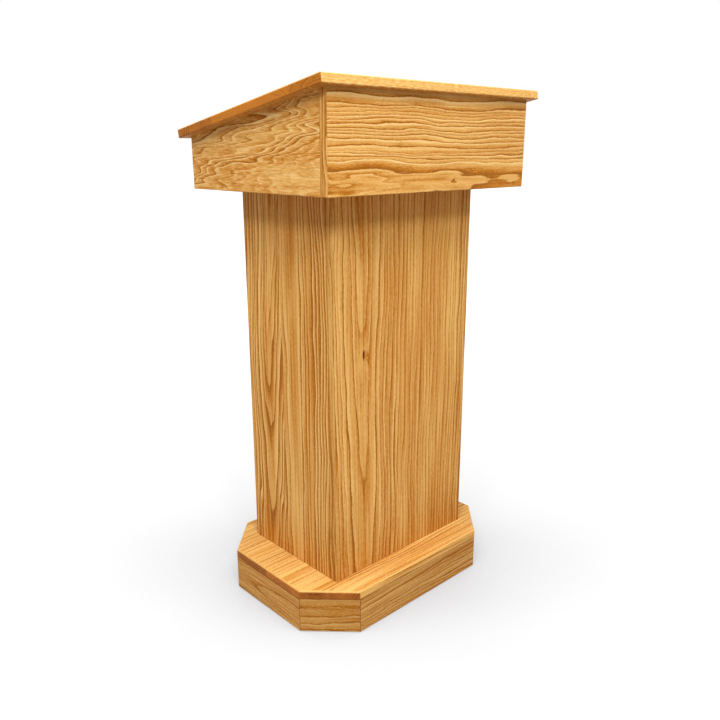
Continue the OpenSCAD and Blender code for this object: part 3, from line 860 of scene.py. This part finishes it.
class ColumnOperator(Operator):
    """Finish the panels, the rails and the shelf of the column"""

    bl_idname = "lectern.finish_column"
    bl_label = "Column"

    def execute(self, context):
        front = Cut("column_front", Z_AXIS, X_AXIS)
        leaves = [
            Leaf(0, 84, 50, -0.045, lean=-0.012, ring=2.1),
            Leaf(186, -120, 40, 0.01, ring=1.8, tone=1.02, grey=0.3, line=0.5),
            Leaf(398, 560, 60, 0.01, ring=1.8, tone=0.97),
        ]
        # foot paints shade low on the column's front, towards the plinth
        figure = Figure(31.7, sway=16, ripple=9, ripple_length=190, ripple_width=47, flame=4, line=2.35,
                        porous=0.22, foot=0.3, gleam=0.6, ground=0.48, knots=[(522, 83, 11)])
        finish_oak(front, leaves, figure, veneer=True, joints=[(0, 0)])
        for side, seed in (("left", 37.1), ("right", 43.9)):
            panel = Cut(f"column_side_{side}", Z_AXIS, Y_AXIS)
            leaves = [
                Leaf(0, -190, 50, 0.01, ring=2.0),
                Leaf(95, 118, 22, -0.008, ring=2.4, tone=0.98, line=0.8),
                Leaf(160, 228, 52, -0.05, lean=-0.05, ring=1.6, line=0.95),
            ]
            # foot paints shade low on the column's sides, towards the plinth
            figure = Figure(seed, sway=14, ripple=9, ripple_length=170, ripple_width=42, flame=4, line=2.9,
                            gleam=0.6, ground=0.52, foot=0.3)
            finish_oak(panel, leaves, figure, veneer=True, joints=[(0, 0)])
        for level, seed in (("top", 47.3), ("bottom", 51.9)):
            rail = Cut(f"column_rail_{level}", X_AXIS, Z_AXIS)
            finish_oak(rail, [Leaf(0, -60, 50, 0.01)], Figure(seed), veneer=True)
        shelf = Cut("column_shelf", X_AXIS, Y_AXIS)
        leaves = [Leaf(0, 60, 60, 0.03), Leaf(130, 190, 40, -0.02)]
        finish_oak(shelf, leaves, Figure(57.7), veneer=True)
        return {"FINISHED"}


class PlinthBoardOperator(Operator):
    """Finish the plinth's top board"""

    bl_idname = "lectern.finish_plinth_board"
    bl_label = "Plinth board"

    def execute(self, context):
        board = Cut("base_board", X_AXIS, Y_AXIS)
        leaves = staves(board.size[1], 110, 4.0)
        figure = Figure(61.3, line=1.4, streak=0.9, ground=0.35, ends=0.17)
        finish_oak(board, leaves, figure, joints=[(2, 0)], strength=0.98)
        return {"FINISHED"}


class SkirtOperator(Operator):
    """Finish the eight mitred boards of the plinth's skirt"""

    bl_idname = "lectern.finish_skirt"
    bl_label = "Skirt"

    def execute(self, context):
        sides = {
            "front": X_AXIS, "back": X_AXIS,
            "left": Y_AXIS, "right": Y_AXIS,
            "front_left": FRONT_LEFT, "back_right": FRONT_LEFT,
            "front_right": FRONT_RIGHT, "back_left": FRONT_RIGHT,
        }
        joints = [(0, 0), (0, 1), (1, 1)]
        for index, (side, along) in enumerate(sides.items()):
            board = Cut(f"skirt_{side}", along, Z_AXIS)
            seed = 67.7 + 6.1 * index
            heart = (-35, 30, 34, -20)[index % 4]
            if along is FRONT_LEFT or along is FRONT_RIGHT:
                leaves = [Leaf(0, heart - 60, 60, 0.02, ring=2.6, tone=0.9)]
                figure = Figure(seed, sway=22, ripple=9, line=0.9, streak=0.6, ground=0.7, gleam=0.3)
            else:
                leaves = [Leaf(0, heart, 24 + 5 * (index % 3), 0.04, lean=0.03, ring=1.2)]
                figure = Figure(seed, sway=8, ripple=4, line=1.5, ground=0.52)
            finish_oak(board, leaves, figure, joints=joints, strength=0.84)
        return {"FINISHED"}


class InsideOperator(Operator):
    """Finish the cleats and blocks in poplar, and the biscuits, dowels and splines in beech"""

    bl_idname = "lectern.finish_inside"
    bl_label = "Wood inside"

    def execute(self, context):
        look = context.scene.lectern_inside
        runs = {}
        for level, along in (("board", DOWN_SLOPE), ("top", Y_AXIS), ("foot", Y_AXIS)):
            runs[f"{level}_cleat_left"] = along
            runs[f"{level}_cleat_right"] = along
            runs[f"{level}_cleat_front"] = X_AXIS
        runs["glue_blocks"] = X_AXIS
        for corner in CORNERS:
            runs[f"corner_block_{corner}"] = Z_AXIS
        for index, (node, along) in enumerate(runs.items()):
            cut = Cut(node, along, Y_AXIS if along is X_AXIS else X_AXIS)
            finish_bare(cut, "poplar", look.poplar, look.poplar_dark, 0.003, 0.1, seed=3.7 * index)
        for index, node in enumerate(("head_biscuits", "column_biscuits", "rail_dowels", "mitre_splines")):
            cut = Cut(node, X_AXIS if node == "rail_dowels" else Z_AXIS, Y_AXIS)
            finish_bare(cut, "beech", look.beech, look.beech_dark, 0.0022, 0.5, seed=71.3 + 3.7 * index)
        return {"FINISHED"}


def picked(made, kind):
    """The parts of one kind among what a bmesh operator made."""
    return [part for part in made["geom"] if isinstance(part, kind)]


def edges_at(spots):
    """The edges at some vertices, each of them once."""
    return list(dict.fromkeys(edge for spot in spots for edge in spot.link_edges))


class ScrewOperator(Operator):
    """Make the countersunk screws with their threads and crosses"""

    bl_idname = "lectern.make_screws"
    bl_label = "Screws"

    def execute(self, context):
        look = context.scene.lectern_hardware
        board = Matrix.Translation((0, FRONT_Y, FRONT_Z)) @ Matrix.Rotation(-SLOPE, 4, "X")
        upwards = Matrix.Rotation(math.pi, 4, "X")
        sets = {
            "board_screws": (LONG_SCREW, board, -CLEAT_DEPTH, upwards, BOARD_SCREWS),
            "stop_screws": (SHORT_SCREW, board, 0, upwards, STOP_SCREWS),
            "head_screws": (SHORT_SCREW, Matrix(), HEAD_FLOOR_TOP, Matrix(), COLUMN_SCREWS),
            "base_screws": (LONG_SCREW, Matrix(), PLINTH_BOARD_UNDERSIDE, upwards, COLUMN_SCREWS),
        }
        for index, (node, (length, base, level, turn, places)) in enumerate(sets.items()):
            steel = zinc_steel(f"zinc_{node}", 5.3 * index)
            finish(node, steel)
            shape = bmesh.new()
            for x, y in places:
                self.cut_screw(shape, look, length, base @ Matrix.Translation((x, y, level)) @ turn)
            piece = new_object(f"{node}_threaded", shape, steel)
            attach(piece, "root")
            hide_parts(node)
        return {"FINISHED"}

    def cut_screw(self, shape, look, length, place):
        """Adds one screw to the shape, with its head's face at the place, pointing down."""
        one = bmesh.new()
        rim = self.cut_head(one, look)
        thread_start = -length * PLAIN_SHARE
        steps = (
            (look.head / 2, -RIM),
            (look.screw / 2, -COUNTERSINK),
            (look.screw / 2, thread_start),
            (look.core / 2, thread_start - NECK),
            (look.core / 2, -length + POINT),
            (look.core * TIP_SHARE, -length + TIP),
        )
        before = look.head / 2 - RIM_CHAMFER
        for radius, height in steps:
            made = bmesh.ops.extrude_edge_only(one, edges=rim)
            rim = picked(made, BMEdge)
            spots = picked(made, BMVert)
            bmesh.ops.scale(one, vec=(radius / before, radius / before, 1), verts=spots)
            bmesh.ops.translate(one, vec=(0, 0, height - spots[0].co.z), verts=spots)
            before = radius
        spots = picked(bmesh.ops.extrude_edge_only(one, edges=rim), BMVert)
        bmesh.ops.pointmerge(one, verts=spots, merge_co=(0, 0, -length))
        self.wind_thread(one, look, thread_start, length)
        bmesh.ops.recalc_face_normals(one, faces=one.faces)
        bmesh.ops.transform(one, matrix=place, verts=one.verts)
        spare = bpy.data.meshes.new("one_screw")
        one.to_mesh(spare)
        one.free()
        shape.from_mesh(spare)
        bpy.data.meshes.remove(spare)

    def cut_head(self, one, look):
        """Flat face with a cross in it, from a grid of millimetres. Returns the edges of its rim."""
        bmesh.ops.create_grid(one, x_segments=6, y_segments=6, size=0.003)
        cross = []
        for face in one.faces:
            reach = sorted(abs(face.calc_center_median()[way]) for way in (0, 1))
            if reach[0] < 0.001 and reach[1] < 0.002:
                cross.append(face)
        edges = [edge for edge in one.edges if edge.is_boundary]
        for spot in one.verts:
            for way in (0, 1):
                spot.co[way] = math.copysign(CROSS_LINES[round(abs(spot.co[way]) * MM)], spot.co[way])
        spots = picked(bmesh.ops.extrude_face_region(one, geom=cross), BMVert)
        bmesh.ops.delete(one, geom=cross, context="FACES_ONLY")
        bmesh.ops.scale(one, vec=(CROSS_SHARE, CROSS_SHARE, 1), verts=spots)
        bmesh.ops.translate(one, vec=(0, 0, -look.recess), verts=spots)
        ring = bmesh.ops.create_circle(one, cap_ends=False, segments=HEAD_SIDES,
                                       radius=look.head / 2 - RIM_CHAMFER)["verts"]
        bmesh.ops.rotate(one, cent=(0, 0, 0), matrix=Matrix.Rotation(math.pi / 4, 3, "Z"), verts=ring)
        rim = edges_at(ring)
        bmesh.ops.bridge_loops(one, edges=edges + rim)
        return rim

    def wind_thread(self, one, look, start, length):
        """Thread wound round the core, which runs out at both ends."""
        root = look.core / 2 - THREAD_HOLD
        turns = (length + start - THREAD_GAP) / look.pitch
        profile = bmesh.ops.create_circle(one, cap_ends=False, segments=3, radius=1)["verts"]
        corners = ((root, THREAD_HALF), (root, -THREAD_HALF), (look.screw / 2, 0))
        for spot, (out, up) in zip(profile, corners):
            spot.co = Vector((out, 0, start + up))
        before = set(one.verts) - set(profile)
        geometry = [*profile, *edges_at(profile)]
        bmesh.ops.spin(one, geom=geometry, cent=(0, 0, 0), axis=(0, 0, 1), use_merge=False,
                       dvec=(0, 0, -look.pitch / THREAD_STEPS), angle=turns * math.tau,
                       steps=round(turns * THREAD_STEPS))
        ends = [edge for edge in one.edges if edge.is_boundary]
        thread = [spot for spot in one.verts if spot not in before]
        bmesh.ops.holes_fill(one, edges=ends, sides=3)
        for spot in thread:
            left = (spot.co.z + length) / POINT
            begun = START_SHARE + (start - spot.co.z) / look.pitch * (1 - START_SHARE)
            share = min(1.0, max(TIP_SHARE, left), max(START_SHARE, begun))
            spot.co.x *= share
            spot.co.y *= share


class PinOperator(Operator):
    """Finish the shelf pins and the glides"""

    bl_idname = "lectern.finish_pins"
    bl_label = "Shelf pins and glides"

    def execute(self, context):
        finish("shelf_pins", zinc_steel("zinc_shelf_pins", 31.7))
        for index, corner in enumerate(CORNERS):
            finish(f"glide_{corner}", nylon(f"nylon_glide_{corner}", 7.9 * index))
        return {"FINISHED"}


class StudioOperator(Operator):
    """Set up the floor, the lamps, the sky and the camera"""

    bl_idname = "lectern.set_studio"
    bl_label = "Studio"

    def execute(self, context):
        look = context.scene.lectern_studio
        self.lay_floor(look)
        for name, (power, width, depth, place, aim) in LAMPS.items():
            self.hang_lamp(name, getattr(look, power), width, depth, Vector(place), Vector(aim))
        self.light_sky(look)
        self.place_camera(look)
        context.scene.view_settings.view_transform = "Standard"
        return {"FINISHED"}

    def lay_floor(self, look):
        """Pale floor with the lamps' real shadow and painted shade, white to the camera elsewhere."""
        shape = bmesh.new()
        bmesh.ops.create_grid(shape, x_segments=1, y_segments=1, size=FLOOR_REACH)
        bmesh.ops.translate(shape, vec=(0, 0, -FLOOR_GAP), verts=shape.verts)
        material = bpy.data.materials.new("studio_floor")
        floor = new_object("studio_floor", shape, material)
        shop = Shop(material)
        paint = shop.node("ShaderNodeBsdfDiffuse", {}, {"Color": look.floor})
        shadow = shop.node("ShaderNodeBsdfDiffuse", {}, {"Color": SHADOW_TINT})
        # The floor's white glow carries the painted shade, painted shadow and painted light of floor_light
        glow = shop.scaled(WHITE, self.floor_light(shop, look))
        glow = shop.node("ShaderNodeEmission", {}, {"Color": glow, "Strength": 1.0})
        both = shop.node("ShaderNodeAddShader", {}, (shadow, glow))
        shop.end(shop.node("ShaderNodeMixShader", {}, (shop.eye(), paint, both)))

    def floor_light(self, shop, look):
        """Floor's white: painted occlusion shade and a painted shadow round the lectern, painted light
        behind.
        """
        reach = {"Distance": OCCLUSION_REACH}
        # Occlusion paints shade on the floor's white round the lectern
        painted_occlusion_shade = shop.node("ShaderNodeAmbientOcclusion", {"samples": 8}, reach, "AO")
        place = shop.place("Object")
        distance = shop.node("ShaderNodeVectorMath", {"operation": "LENGTH"}, (place,), "Value")
        turned = Matrix.Rotation(look.heading, 3, "Z")
        side = shop.reach(place, turned @ X_AXIS)
        ahead = shop.reach(place, turned @ Y_AXIS)
        width = side / PAINTED_SHADOW_WIDTH
        depth = ahead / PAINTED_SHADOW_DEPTH
        # Painted shadow: a grey oval spread to the lectern's sides
        painted_shadow = 1 - (width * width + depth * depth).root().rise(*PAINTED_SHADOW_EDGE)
        bright = painted_occlusion_shade * WHITE_WITH_PAINTED_OCCLUSION + distance.rise(*FAR) * WHITE_FAR + WHITE_ALL_OVER
        # Painted light lifts the floor behind the lectern, where the lamps' shadows fall
        return bright + ahead.rise(*BEHIND) * PAINTED_LIGHT_BEHIND - painted_shadow * PAINTED_SHADOW_STRENGTH

    def hang_lamp(self, name, power, width, depth, place, aim):
        """Soft box aimed at a point."""
        lamp = bpy.data.lights.new(name, "AREA")
        lamp.shape = "RECTANGLE"
        lamp.size = width
        lamp.size_y = depth
        lamp.energy = power
        holder = bpy.data.objects.new(name, lamp)
        turn = (aim - place).to_track_quat("-Z", "Y").to_matrix().to_4x4()
        holder.matrix_world = Matrix.Translation(place) @ turn
        bpy.context.scene.collection.objects.link(holder)

    def light_sky(self, look):
        """Even light from all round, and a white backdrop."""
        world = bpy.data.worlds.new("studio_sky")
        bpy.context.scene.world = world
        shop = Shop(world)
        soft = shop.node("ShaderNodeBackground", {}, {"Color": look.sky_colour, "Strength": look.sky})
        white = shop.node("ShaderNodeBackground", {}, {"Color": WHITE, "Strength": 1.0})
        shop.end(shop.node("ShaderNodeMixShader", {}, (shop.eye(), soft, white)))

    def place_camera(self, look):
        """Camera at the height and heading that a standing reader would photograph the lectern from."""
        camera = bpy.data.cameras.new("camera")
        camera.lens = look.lens
        camera.sensor_width = 36
        camera.clip_start = 0.05
        camera.clip_end = 200
        holder = bpy.data.objects.new("camera", camera)
        turn = (Matrix.Rotation(look.heading, 4, "Z")
                @ Matrix.Rotation(math.pi / 2 + look.pitch, 4, "X")
                @ Matrix.Rotation(look.roll, 4, "Z"))
        holder.matrix_world = Matrix.Translation(look.camera) @ turn
        bpy.context.scene.collection.objects.link(holder)
        bpy.context.scene.camera = holder


class LecternPanel(Panel):
    """Steps and looks of the lectern"""

    bl_idname = "VIEW3D_PT_lectern"
    bl_label = "Lectern"
    bl_space_type = "VIEW_3D"
    bl_region_type = "UI"
    bl_category = "Lectern"

    def draw(self, context):
        layout = self.layout
        layout.use_property_split = True
        for step in STEPS:
            layout.operator(step.bl_idname)
        for look in LOOKS:
            group = getattr(context.scene, look)
            box = layout.box()
            for name in group.bl_rna.properties.keys():
                if name not in ("rna_type", "name"):
                    box.prop(group, name)


STEPS = (BoardOperator, HeadOperator, ColumnOperator, PlinthBoardOperator, SkirtOperator, InsideOperator,
         ScrewOperator, PinOperator, StudioOperator)
LOOKS = {
    "lectern_oak": OakLook,
    "lectern_inside": InsideLook,
    "lectern_hardware": HardwareLook,
    "lectern_studio": StudioLook,
}
CLASSES = (*LOOKS.values(), *STEPS, LecternPanel)


def register():
    for made in CLASSES:
        bpy.utils.register_class(made)
    for name, look in LOOKS.items():
        setattr(bpy.types.Scene, name, PointerProperty(type=look))


def unregister():
    for name in LOOKS:
        delattr(bpy.types.Scene, name)
    for made in reversed(CLASSES):
        bpy.utils.unregister_class(made)


def main():
    """Makes every piece in order."""
    register()
    bpy.ops.lectern.finish_board()
    bpy.ops.lectern.finish_head()
    bpy.ops.lectern.finish_column()
    bpy.ops.lectern.finish_plinth_board()
    bpy.ops.lectern.finish_skirt()
    bpy.ops.lectern.finish_inside()
    bpy.ops.lectern.make_screws()
    bpy.ops.lectern.finish_pins()
    bpy.ops.lectern.set_studio()


if __name__ == "__main__":
    main()
